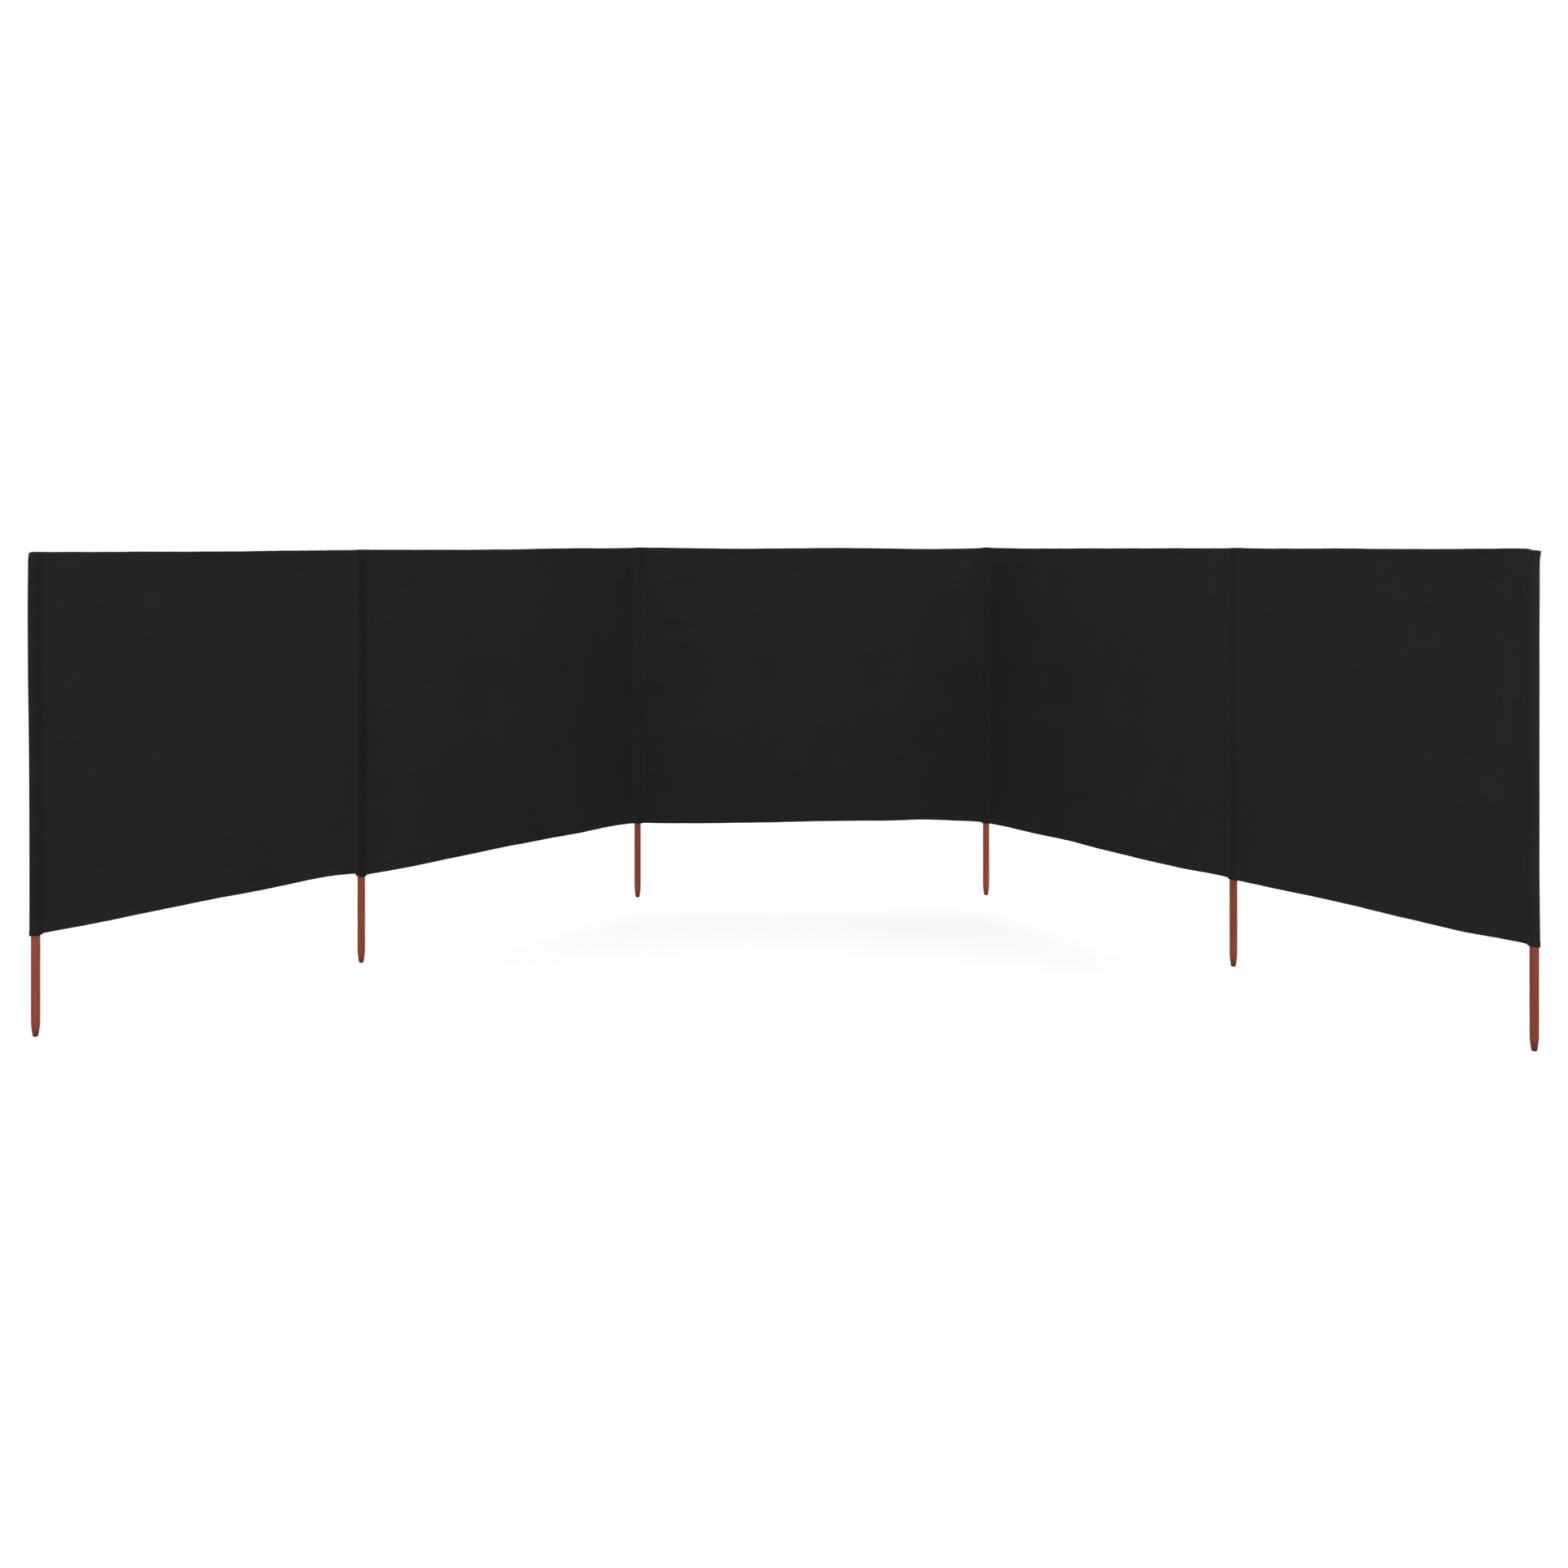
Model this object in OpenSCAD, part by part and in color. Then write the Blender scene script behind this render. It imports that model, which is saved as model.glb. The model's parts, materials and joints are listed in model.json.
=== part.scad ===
// Beach windbreak: five bays of cloth on six poles that stand in the ground.
// Units are millimetres. The origin is on the tip of pole 3, +X runs along the
// middle bay to pole 4, +Z is up, and the wings fold forward, towards -Y, which
// is the sheltered side.

/* [Poles] */
// Length of each pole, from its tip to its top
pole_length = 1198; // [1000:1:1800]
// Diameter of each pole
pole_d = 22; // [14:0.5:40]
// Length of the tapered tip that goes into the ground
tip_length = 40; // [20:1:80]
// Diameter at the end of the tip, before its edge is rounded
tip_d = 14; // [6:0.5:14]
// Radius that rounds the edge of the tip
tip_round = 2.5; // [0.5:0.5:2.5]
// Bevel round the top of each pole
top_bevel = 1.5; // [0.5:0.5:3]

/* [Cloth] */
// Centre to centre distance of the poles of the three inner bays
inner_bay = 1200; // [600:1:2000]
// Centre to centre distance of the poles of the two end bays
end_bay = 1000; // [500:1:2000]
// Height of the sleeves, from their open end to their closed top
sleeve_height = 950; // [500:1:980]
// Wall of the sleeves, and of their closed top
sleeve_t = 1.7; // [0.6:0.1:4]
// Thickness of the panels
panel_t = 1.6; // [0.6:0.1:3]
// Thickness of the folded hems
hem_t = 2.6; // [1:0.1:5]
// Height of the folded hems
hem_h = 18; // [8:1:40]
// How far the top hems lie below the top of the sleeves
top_step = 2; // [0:0.5:20]
// How far the bottom hems lie above the open end of the sleeves
bottom_step = 7; // [0:0.5:40]
// How far the cloth bellies out to the sheltered side between two poles
belly = 12; // [0:1:60]

/* [Layout] */
// Turn at pole 3 from in line with the middle bay, positive to the sheltered side
left_turn = 51; // [-45:0.5:70]
// Turn at pole 2 from in line with the left bay
left_end_turn = -1.5; // [-45:0.5:70]
// Turn at pole 4 from in line with the middle bay
right_turn = 62; // [-45:0.5:70]
// Turn at pole 5 from in line with the right bay
right_end_turn = -1; // [-45:0.5:70]

/* [Clearances] */
// Gap between a pole and the sleeve round it, and above the pole's top
pole_gap = 0.3; // [0.1:0.05:2]
// Gap between a sleeve and the edges of the cloth that it joins
seam_gap = 0.3; // [0.1:0.05:1]

/* [Hidden] */
POLES = 6;
BAYS = POLES - 1;
$fn = 96;

POLE_COLOUR = [0.56, 0.27, 0.2];
SLEEVE_COLOUR = [0.12, 0.12, 0.12];
PANEL_COLOUR = [0.15, 0.15, 0.15];
HEM_COLOUR = [0.13, 0.13, 0.13];

pole_r = pole_d / 2;
pocket_r = pole_r + pole_gap;
sleeve_r = pocket_r + sleeve_t;
// Distance of the cloth's edges from the axes of the poles at its two sides
cloth_start = sleeve_r + seam_gap;

sleeve_top = pole_length + pole_gap + sleeve_t;
sleeve_bottom = sleeve_top - sleeve_height;
cloth_top = sleeve_top - top_step;
cloth_bottom = sleeve_bottom + bottom_step;

// Bays are counted from the left end, as seen from the sheltered side. Each runs
// from its left pole to its right pole, and its own -Y is the sheltered side.
bay_width = [end_bay, inner_bay, inner_bay, inner_bay, end_bay];
heading = [
    left_turn + left_end_turn,
    left_turn,
    0,
    -right_turn,
    -right_turn - right_end_turn
];
run = [for (b = [0:BAYS - 1]) bay_width[b] * [cos(heading[b]), sin(heading[b]), 0]];
pole_at = [
    -run[1] - run[0],
    -run[1],
    [0, 0, 0],
    run[2],
    run[2] + run[3],
    run[2] + run[3] + run[4]
];

// Steps that a quarter of the tip's rounding is drawn in
ROUND_STEPS = 6;
// Flat steps that a bay's shallow curve is drawn in
CLOTH_STEPS = 16;

// Side of the pole from the middle of its tip to the middle of its top
tip_edge = [
    for (i = [0:ROUND_STEPS])
    let (a = 90 * i / ROUND_STEPS)
    [tip_d / 2 - tip_round + tip_round * sin(a), tip_round - tip_round * cos(a)]
];
pole_outline = concat(
    [[0, 0]],
    tip_edge,
    [
        [pole_r, tip_length],
        [pole_r, pole_length - top_bevel],
        [pole_r - top_bevel, pole_length],
        [0, pole_length]
    ]
);

// Shallow parabola of the cloth between two poles that stand w apart
function cloth_y(x, w) = -4 * belly * (x / w) * (1 - x / w);
function cloth_side(w, offset) = [
    for (i = [0:CLOTH_STEPS])
    let (x = cloth_start + (w - 2 * cloth_start) * i / CLOTH_STEPS)
    [x, cloth_y(x, w) + offset]
];
function backwards(list) = [for (i = [len(list) - 1:-1:0]) list[i]];

// Upright strip of cloth between the sleeves of bay n
module cloth_strip(n, bottom, top, thickness) {
    w = bay_width[n - 1];
    outline = concat(
        cloth_side(w, -thickness / 2),
        backwards(cloth_side(w, thickness / 2))
    );
    translate(pole_at[n - 1] + [0, 0, bottom])
        rotate([0, 0, heading[n - 1]])
            linear_extrude(top - bottom)
                polygon(outline);
}

// Round wooden pole with a tapered, blunt tip
module pole(n) {
    color(POLE_COLOUR)
        translate(pole_at[n - 1])
            rotate_extrude()
                polygon(pole_outline);
}

// Sewn pocket that is pulled over a pole, closed at its top
module sleeve(n) {
    color(SLEEVE_COLOUR)
        translate(pole_at[n - 1] + [0, 0, sleeve_bottom])
            difference() {
                cylinder(h = sleeve_height, r = sleeve_r);
                translate([0, 0, -sleeve_t])
                    cylinder(h = sleeve_height, r = pocket_r);
            }
}

// Cloth of one bay, between its two hems
module panel(n) {
    color(PANEL_COLOUR)
        cloth_strip(n, cloth_bottom + hem_h, cloth_top - hem_h, panel_t);
}

// Folded and stitched top edge of one bay
module top_hem(n) {
    color(HEM_COLOUR)
        cloth_strip(n, cloth_top - hem_h, cloth_top, hem_t);
}

// Folded and stitched bottom edge of one bay
module bottom_hem(n) {
    color(HEM_COLOUR)
        cloth_strip(n, cloth_bottom, cloth_bottom + hem_h, hem_t);
}

for (i = [1:POLES]) pole(i);
for (i = [1:POLES]) sleeve(i);
for (i = [1:BAYS]) panel(i);
for (i = [1:BAYS]) top_hem(i);
for (i = [1:BAYS]) bottom_hem(i);
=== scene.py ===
"""Beach windbreak: five bays of charcoal canvas sleeved over six stained wooden poles.

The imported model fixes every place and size. This script adds the looks: the stretched cloth
with its folds and puckers, the folded hems, the sewn sleeves, their stitching, and the wood.
Lengths are in metres, or in mm where a comment says so. Each bay has its own x from its left
pole to its right one, y towards the wind, and z up; the sheltered side, where the wings fold
to, is -y.
"""

import functools
import json
import math

import bmesh
import bpy
import numpy as np
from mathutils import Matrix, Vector


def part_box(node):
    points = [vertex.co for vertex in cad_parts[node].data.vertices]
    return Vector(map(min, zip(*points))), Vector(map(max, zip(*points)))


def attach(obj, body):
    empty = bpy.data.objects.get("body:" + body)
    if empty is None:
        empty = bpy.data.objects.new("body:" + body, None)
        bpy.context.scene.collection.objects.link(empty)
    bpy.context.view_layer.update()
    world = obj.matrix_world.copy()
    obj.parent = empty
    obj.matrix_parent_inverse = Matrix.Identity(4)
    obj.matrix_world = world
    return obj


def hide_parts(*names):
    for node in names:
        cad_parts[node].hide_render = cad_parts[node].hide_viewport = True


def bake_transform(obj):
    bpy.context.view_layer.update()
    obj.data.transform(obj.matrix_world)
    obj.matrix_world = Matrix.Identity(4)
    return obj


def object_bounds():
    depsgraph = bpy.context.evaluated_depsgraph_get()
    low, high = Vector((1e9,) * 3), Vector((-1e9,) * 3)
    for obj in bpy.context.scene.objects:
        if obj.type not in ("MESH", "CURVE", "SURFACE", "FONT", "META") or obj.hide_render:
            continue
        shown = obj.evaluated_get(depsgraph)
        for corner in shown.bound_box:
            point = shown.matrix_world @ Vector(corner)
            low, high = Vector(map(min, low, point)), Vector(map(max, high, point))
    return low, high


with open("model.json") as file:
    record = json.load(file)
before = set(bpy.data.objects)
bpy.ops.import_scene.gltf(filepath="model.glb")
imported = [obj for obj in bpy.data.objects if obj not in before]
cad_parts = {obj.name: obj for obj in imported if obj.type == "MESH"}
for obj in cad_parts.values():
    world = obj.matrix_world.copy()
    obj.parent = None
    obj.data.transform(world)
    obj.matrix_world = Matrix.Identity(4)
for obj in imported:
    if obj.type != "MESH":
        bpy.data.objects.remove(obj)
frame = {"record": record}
CAD_LOW, CAD_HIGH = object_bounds()

# ---- sizes from the frame

POLE_NUMBERS = (1, 2, 3, 4, 5, 6)
BAY_NUMBERS = POLE_NUMBERS[:-1]
BODY_OF = {
    node: body
    for body, nodes in frame["record"]["behaviour"]["bodies"].items()
    for node in nodes
}


def middle(node):
    """Plan centre of a node, as a complex number x + iy."""
    low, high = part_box(node)
    return complex((low.x + high.x) / 2, (low.y + high.y) / 2)


POLE_AT = {n: middle(f"pole_{n}") for n in POLE_NUMBERS}
POLE_LOW, POLE_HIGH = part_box("pole_3")
POLE_R = (POLE_HIGH.x - POLE_LOW.x) / 2
POLE_TOP = POLE_HIGH.z
SLEEVE_LOW, SLEEVE_HIGH = (corner.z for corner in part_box("sleeve_3"))
HEM_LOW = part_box("bottom_hem_3")[0].z
TOP_HEM_LOW, HEM_HIGH = (corner.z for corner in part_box("top_hem_3"))
HEM_H = HEM_HIGH - TOP_HEM_LOW
# How far the middle of a bay bellies to the sheltered side in CAD
CAD_BELLY = -(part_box("panel_3")[0].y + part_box("panel_3")[1].y)

# ---- chosen sizes

CLOTH_T = 0.0007
# Gap between layers of cloth that are sewn together
PLY_GAP = 0.00005
# The cloth bellies a little more than its CAD sheet
BELLY = CAD_BELLY + 0.0005
# Distance of a sleeve's seam from the axis of its pole, and width of the flange outside it
SEAM = 0.022
FLANGE = 0.009
# How far the panels and hems reach in between the two layers of a sleeve
TUCK = 0.004
# How far a panel reaches in under each of its hems
UNDER_HEM = 0.003
# Looseness of the sleeves round the poles
SLACK = 0.0003
# The turned-up open end of a sleeve
CUFF = 0.013

# Outline of each bay's cloth: (place along the bay from 0 to 1, height in mm)
# Top edges, from the tops of the poles
TOP_LINE = {
    1: ((0, 1.4), (0.3, 0.3), (0.55, -0.7), (0.75, 0.2), (1, 0.3)),
    2: ((0, 1.0), (0.5, -1.3), (0.7, 0.5), (0.9, -0.5), (1, 0.2)),
    3: ((0, 0.9), (0.07, 0.4), (0.25, -2.6), (0.6, -0.6), (0.87, -3.9), (1, -1.1)),
    4: ((0, 0.4), (0.1, -0.8), (0.5, 1.7), (0.9, 4.9), (1, 5.4)),
    5: ((0, 6.8), (0.1, 5.9), (0.45, 7.8), (0.6, 7.5), (0.87, 9.9), (0.955, 11), (1, 9.8)),
}
# Bottom edges, from the open ends of the sleeves
BOTTOM_LINE = {
    1: ((0, 2.5), (0.1, 2.5), (0.3, 8.8), (0.5, 14), (0.7, 15), (0.87, 17.8), (1, 9.5)),
    2: ((0, 2), (0.08, 1.8), (0.3, 5.8), (0.55, 10.6), (0.8, 9.2), (0.92, 9.2), (1, 4)),
    3: (
        (0, 4.2), (0.1, 2.5), (0.3, 4.2), (0.6, 9.2),
        (0.72, 9.2), (0.81, 11.4), (0.92, 5.9), (1, 0.8),
    ),
    4: ((0, -2), (0.1, 2), (0.25, 2), (0.42, 5), (0.6, 1.4), (0.82, -0.8), (0.95, 3.4), (1, 1.2)),
    5: ((0, -0.4), (0.08, 0.3), (0.25, 3.6), (0.4, 6), (0.6, 3.2), (0.8, -0.2), (0.94, 4.2), (1, 3)),
}
# Ends of each sleeve at its pole, in mm: open end from the frame's, closed end from the pole's top
FOOT = {1: 0.5, 2: 0.0, 3: 3.2, 4: -1.2, 5: 0.2, 6: 1.6}
HEAD = {1: 1.6, 2: 1.2, 3: 1.0, 4: 0.9, 5: 6.4, 6: 6.6}
# Outer corners of the two end sleeves, in mm from the pole's top
CORNER = {1: -0.6, 6: 4.4}
# Outer fold of the two end sleeves: (height in mm, distance from the axis of the pole in mm)
FOLD_LINE = {
    1: ((250, 16.5), (450, 16.5), (700, 17.5), (950, 20.5), (1150, 20), (1190, 19), (1202, 17)),
    6: ((250, 17), (400, 15.2), (700, 14.5), (1050, 13.5), (1165, 15), (1190, 17), (1203, 19.5)),
}
# Painted shade on five sleeves, a darker band: (tone, from, to), in mm to the right of the pole
SLEEVE_SHADE_BAND = {
    1: (0.82, -40, 20),
    2: (0.70, -18, 18),
    3: (0.92, -4, 28),
    4: (0.93, 0, 18),
    5: (0.87, -16, 18),
}
# Over how many mm a band fades at its two edges
BAND_FADE = 3
# Painted highlights: paler patches on the right of the bays, near their tops: strength
PAINTED_HIGHLIGHT = {1: 0.04, 2: 0.02, 3: 0.14, 4: 0.10, 5: 0.05}
# Their distance from the right pole, their width, and the heights that they fade in between
HIGHLIGHT_AT, HIGHLIGHT_WIDTH = 0.062, 0.035
HIGHLIGHT_FROM, HIGHLIGHT_TO = 0.55, 1.05
# How pale each pole took its stain
STAIN = {1: 1.05, 2: 0.98, 3: 1.0, 4: 1.16, 5: 0.92, 6: 0.90}

# Where each sub-part's random numbers start; its own number is added
FOLD_SEED, TOP_SEED, BOTTOM_SEED, POLE_SEED = 10, 60, 70, 100

# ---- directions and curves

SHELTERED, WINDWARD = -1, 1
LEFT, RIGHT = -1, 1


def lifted(plan, z):
    """Points from plan places, as complex numbers, and heights."""
    return np.stack([plan.real, plan.imag, z + 0 * plan.real], axis=-1)


class Bay:
    """The plan of one bay: where it starts, how wide it is and which way it runs."""

    def __init__(self, number):
        self.number = number
        self.start = POLE_AT[number]
        run = POLE_AT[number + 1] - self.start
        self.width = abs(run)
        self.along = run / self.width
        self.windward = self.along * 1j
        self.body = BODY_OF[f"panel_{number}"]

    def place(self, x, y, z):
        """Points in the frame, from arrays of the bay's own x, y and z."""
        return lifted(self.start + self.along * x + self.windward * y, z)

    def x_from(self, hand, distance):
        """The bay's x at a distance from its pole, for a bay on the left or right of it."""
        return distance if hand == RIGHT else self.width - distance


BAYS = {n: Bay(n) for n in BAY_NUMBERS}


def bay_beside(number, hand):
    """The bay on the left or right of a pole, or None past the ends."""
    return BAYS.get(number if hand == RIGHT else number - 1)


def ease(value, low, high):
    """0 up to low, 1 from high on, and a smooth step between them."""
    t = np.clip((value - low) / (high - low), 0, 1)
    return t * t * (3 - 2 * t)


def bell(distance, width):
    """1 at no distance, fading to nothing at about twice the width."""
    return np.exp(-((distance / width) ** 2))


def curve(points, x):
    """A smooth line through a few (place, value) points."""
    at, value = np.array(points, dtype=float).T
    slope = np.gradient(value, at)
    i = np.clip(np.searchsorted(at, x) - 1, 0, len(at) - 2)
    gap = at[i + 1] - at[i]
    t = np.clip((x - at[i]) / gap, 0, 1)
    step = ease(t, 0, 1)
    start = value[i] * (1 - step) + slope[i] * gap * t * (1 - t) ** 2
    end = value[i + 1] * step - slope[i + 1] * gap * t * t * (1 - t)
    return start + end


def unit(vectors):
    """Vectors of length 1."""
    return vectors / np.linalg.norm(vectors, axis=-1)[..., None]


# ---- shape of the cloth

def ripple(bay, x, seed):
    """The slight unevenness of a sewn edge, none at the sleeves."""
    size, fade = 0.0004, 0.09
    held = ease(np.minimum(x, bay.width - x) - SEAM - FLANGE, 0, fade)
    rng = np.random.RandomState(seed + bay.number)
    wave = 0
    for wavelength in (0.035, 0.09, 0.21):
        wave = wave + math.sqrt(wavelength) * np.sin(2 * math.pi * (x / wavelength + rng.rand()))
    return size * held * wave


def top_edge(bay, x):
    """Height of a bay's top edge at x."""
    return POLE_TOP + curve(TOP_LINE[bay.number], x / bay.width) / 1000 + ripple(bay, x, TOP_SEED)


def bottom_edge(bay, x):
    """Height of a bay's bottom edge at x."""
    line = curve(BOTTOM_LINE[bay.number], x / bay.width) / 1000
    return SLEEVE_LOW + line + ripple(bay, x, BOTTOM_SEED)


def inside_edge(bay, where, x, distance):
    """Height at a distance inside a bay's top or bottom edge."""
    if where == "top":
        return top_edge(bay, x) - distance
    return bottom_edge(bay, x) + distance


def level_folds(bay, x, z, rng):
    """Shallow level folds that the pull of the poles makes, fading along the bay."""
    y = 0
    for from_pole in (x, bay.width - x):
        for _ in range(4):
            wavelength = rng.uniform(0.07, 0.23)
            reach = rng.uniform(0.10, 0.35)
            slope = rng.uniform(-0.125, 0.125)
            size = rng.uniform(0.0006, 0.0016)
            wave = np.sin(2 * math.pi * ((z + slope * from_pole) / wavelength + rng.rand()))
            y = y + size * wave * np.exp(-from_pole / reach)
    return y


def corner_folds(bay, x, z, rng):
    """Folds that fan out of the four corners, rising over a distance and then fading."""
    rise_over, fade_over = 0.12, 0.28
    y = 0
    for from_pole in (x, bay.width - x):
        for corner in (HEM_LOW, HEM_HIGH):
            up = np.abs(z - corner)
            angle = np.arctan2(up, np.maximum(from_pole, 0.001))
            away = np.hypot(up, from_pole)
            size = rng.uniform(0.0012, 0.0024)
            fan = np.sin(angle * rng.uniform(7, 10) + rng.uniform(0, 6))
            y = y + size * fan * ease(away, 0, rise_over) * np.exp(-away / fade_over)
    return y


def swells(x, z, rng):
    """Broad, faint swells across the bay, some upright and some slanted."""
    y = 0
    for _ in range(6):
        wavelength = rng.uniform(0.22, 0.72)
        turn = rng.uniform(-math.pi / 2, math.pi / 2)
        size = rng.uniform(0.00048, 0.00168)
        phase = (x * math.cos(turn) + z * math.sin(turn)) / wavelength + rng.rand()
        y = y + size * np.sin(2 * math.pi * phase)
    return y


def creases(bay, x, z, rng):
    """Creases left from rolling the windbreak up, upright and soft."""
    width, middle_z = 0.012, 0.7
    y = 0
    for _ in range(3):
        place = bay.width * rng.uniform(0.15, 0.85)
        lean = rng.uniform(-0.02, 0.02)
        size = rng.uniform(-0.00027, 0.00063)
        y = y + size * bell(x - place - lean * (z - middle_z), width)
    return y


def puckers(place, spacing, drift, over, rng):
    """Waves along a seam, whose spacing drifts over a longer distance."""
    pace = place / spacing + drift * np.sin(2 * math.pi * place / over) + rng.rand()
    return np.sin(2 * math.pi * pace)


def hem_puckers(x, z, rng):
    """Puckers along the two hem seams."""
    size, reach = 0.00045, 0.022
    y = 0
    for seam in (HEM_LOW + HEM_H, HEM_HIGH - HEM_H):
        near = np.exp(-np.abs(z - seam) / reach)
        y = y + size * near * puckers(x, 0.034, 0.35, 0.21, rng)
    return y


def seam_puckers(bay, x, z, rng):
    """Puckers up the seams of the two sleeves."""
    size, reach = 0.0004, 0.012
    y = 0
    for from_pole in (x, bay.width - x):
        near = bell(from_pole - SEAM - FLANGE, reach)
        y = y + size * near * puckers(z, 0.041, 0.3, 0.27, rng)
    return y


def cloth_y(bay, x, z):
    """How far the cloth lies to windward of the line between its poles, at x and z."""
    rng = np.random.RandomState(FOLD_SEED + bay.number)
    u = np.clip((x - SEAM) / (bay.width - 2 * SEAM), 0, 1)
    held_over = 0.06
    held = ease(np.minimum(x, bay.width - x) - SEAM, 0, held_over)
    folds = level_folds(bay, x, z, rng) + corner_folds(bay, x, z, rng) + swells(x, z, rng)
    folds = folds + creases(bay, x, z, rng) + hem_puckers(x, z, rng)
    return -4 * BELLY * u * (1 - u) + held * folds + seam_puckers(bay, x, z, rng)


def painted_panel_highlight(bay, x, z):
    """How pale a bay's cloth is at x and z, around 1, from its painted highlights."""
    across = bell(bay.width - x - HIGHLIGHT_AT, HIGHLIGHT_WIDTH)
    return 1 + PAINTED_HIGHLIGHT[bay.number] * across * ease(z, HIGHLIGHT_FROM, HIGHLIGHT_TO)


# ---- mesh helpers

# Edges sharper than this aren't shaded smooth
SHARP = math.radians(50)


def add_object(name, data):
    """A new object in the scene."""
    made = bpy.data.objects.new(name, data)
    bpy.context.scene.collection.objects.link(made)
    return made


def new_piece(name, points, faces, material, weave, shade=None):
    """A smooth-shaded mesh object with the attributes that its material reads."""
    mesh = bpy.data.meshes.new(name)
    mesh.from_pydata(points.reshape(-1, 3).tolist(), [], faces)
    made = mesh.attributes.new("weave", "FLOAT_VECTOR", "POINT")
    made.data.foreach_set("vector", weave.astype(np.float32).ravel())
    if shade is not None:
        made = mesh.attributes.new("shade", "FLOAT", "POINT")
        made.data.foreach_set("value", shade.astype(np.float32).ravel())
    piece = add_object(name, mesh)
    shell = bmesh.new()
    shell.from_mesh(mesh)
    bmesh.ops.recalc_face_normals(shell, faces=shell.faces)
    shell.to_mesh(mesh)
    shell.free()
    mesh.shade_smooth()
    mesh.set_sharp_from_angle(angle=SHARP)
    mesh.materials.append(material)
    return piece


def grid_faces(rows, columns, first=0, closed=False):
    """Quads of a grid of points that are numbered row by row."""
    across = columns if closed else columns - 1
    faces = []
    for r in range(rows - 1):
        for c in range(across):
            a = first + r * columns + c
            b = first + r * columns + (c + 1) % columns
            faces.append((a, b, b + columns, a + columns))
    return faces


def shell_faces(rows, columns):
    """Faces of a closed sheet: an outer grid, an inner one after it, and their rim."""
    inner = rows * columns
    faces = grid_faces(rows, columns)
    faces += [tuple(reversed(face)) for face in grid_faces(rows, columns, inner)]
    last = (rows - 1) * columns
    rim = [(c, c + 1) for c in range(columns - 1)]
    rim += [((r + 1) * columns - 1, (r + 2) * columns - 1) for r in range(rows - 1)]
    rim += [(last + c + 1, last + c) for c in reversed(range(columns - 1))]
    rim += [((r + 1) * columns, r * columns) for r in reversed(range(rows - 1))]
    faces += [(b, a, inner + a, inner + b) for a, b in rim]
    return faces


def join_parts(parts):
    """One set of points, faces and attributes from several such sets."""
    points, faces, *attributes = zip(*parts)
    joined, count = [], 0
    for part_points, part_faces in zip(points, faces):
        joined += [tuple(i + count for i in face) for face in part_faces]
        count += len(part_points)
    return np.concatenate(points), joined, *(np.concatenate(values) for values in attributes)


# ---- materials

class Nodes:
    """A short way to write the nodes of a material or a world."""

    def __init__(self, owner):
        self.owner = owner
        owner.use_nodes = True
        self.tree = owner.node_tree

    def add(self, kind, settings=(), **inputs):
        """A node with its settings, and its inputs given as values or as other sockets."""
        node = self.tree.nodes.new(kind)
        for key, value in dict(settings).items():
            setattr(node, key, value)
        for key, value in inputs.items():
            self.put(node, key, value)
        return node

    def put(self, node, key, value):
        """Sets or links an input: key is its name with _ for a space, or i and its number."""
        numbered = key[0] == "i" and key[1:].isdigit()
        socket = node.inputs[int(key[1:]) if numbered else key.replace("_", " ")]
        if isinstance(value, bpy.types.NodeSocket):
            self.tree.links.new(value, socket)
        else:
            socket.default_value = value

    def surface(self, **inputs):
        """Sets or links inputs of the shader that a new material comes with."""
        for key, value in inputs.items():
            self.put(self.tree.nodes["Principled BSDF"], key, value)

    def attribute(self, name, output):
        """One output of a mesh attribute."""
        return self.add("ShaderNodeAttribute", {"attribute_name": name}).outputs[output]

    def calculate(self, operation, a, b=0.0):
        """The result of a sum with one or two values."""
        return self.add("ShaderNodeMath", {"operation": operation}, i0=a, i1=b).outputs[0]

    def plus(self, a, b):
        """The sum of two values."""
        return self.calculate("ADD", a, b)

    def times(self, a, b):
        """The product of two values."""
        return self.calculate("MULTIPLY", a, b)

    def sine(self, a, pace):
        """The sine of a value times its pace."""
        return self.calculate("SINE", self.times(a, pace))

    def vector(self, operation, a, b):
        """The result of a sum on each of three parts."""
        return self.add("ShaderNodeVectorMath", {"operation": operation}, i0=a, i1=b).outputs[0]

    def noise(self, place, scale, detail=3.0, roughness=0.55):
        """Noise of a scale per metre, which is one number or one for each axis."""
        if isinstance(scale, tuple):
            place, scale = self.vector("MULTIPLY", place, scale), 1.0
        node = self.add(
            "ShaderNodeTexNoise", Vector=place, Scale=scale, Detail=detail, Roughness=roughness
        )
        return node.outputs[0]

    def span(self, value, low, high, to_low=0.0, to_high=1.0):
        """A value between low and high, moved to between two others."""
        ends = {"From_Min": low, "From_Max": high, "To_Min": to_low, "To_Max": to_high}
        return self.add("ShaderNodeMapRange", Value=value, **ends).outputs[0]

    def vary(self, value, low, high, spread):
        """A value between low and high, moved to 1 give or take a spread."""
        return self.span(value, low, high, 1 - spread, 1 + spread)

    def mix(self, factor, a, b):
        """A colour from a to b."""
        node = self.add("ShaderNodeMix", {"data_type": "RGBA"}, i0=factor, i6=a, i7=b)
        return node.outputs[2]

    def toned(self, value, tone):
        """Grey of a value, times a tone of up to 2."""
        return self.mix(self.times(tone, 0.5), grey(0.0), grey(2 * value))

    def bump(self, height, distance, strength):
        """A normal that follows a height."""
        node = self.add("ShaderNodeBump", Height=height, Distance=distance, Strength=strength)
        return node.outputs[0]


def grey(value):
    """A grey colour."""
    return (value, value, value, 1.0)


CANVAS_TONE = 0.0147
# Distance between its yarns, how far they wander, and their slubs to a metre across and along
YARN_PITCH = 0.0006
YARN_WANDER = 0.0016
SLUBS_ACROSS, SLUBS_ALONG = 700, 45
THREAD_TONE = 0.019
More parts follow.
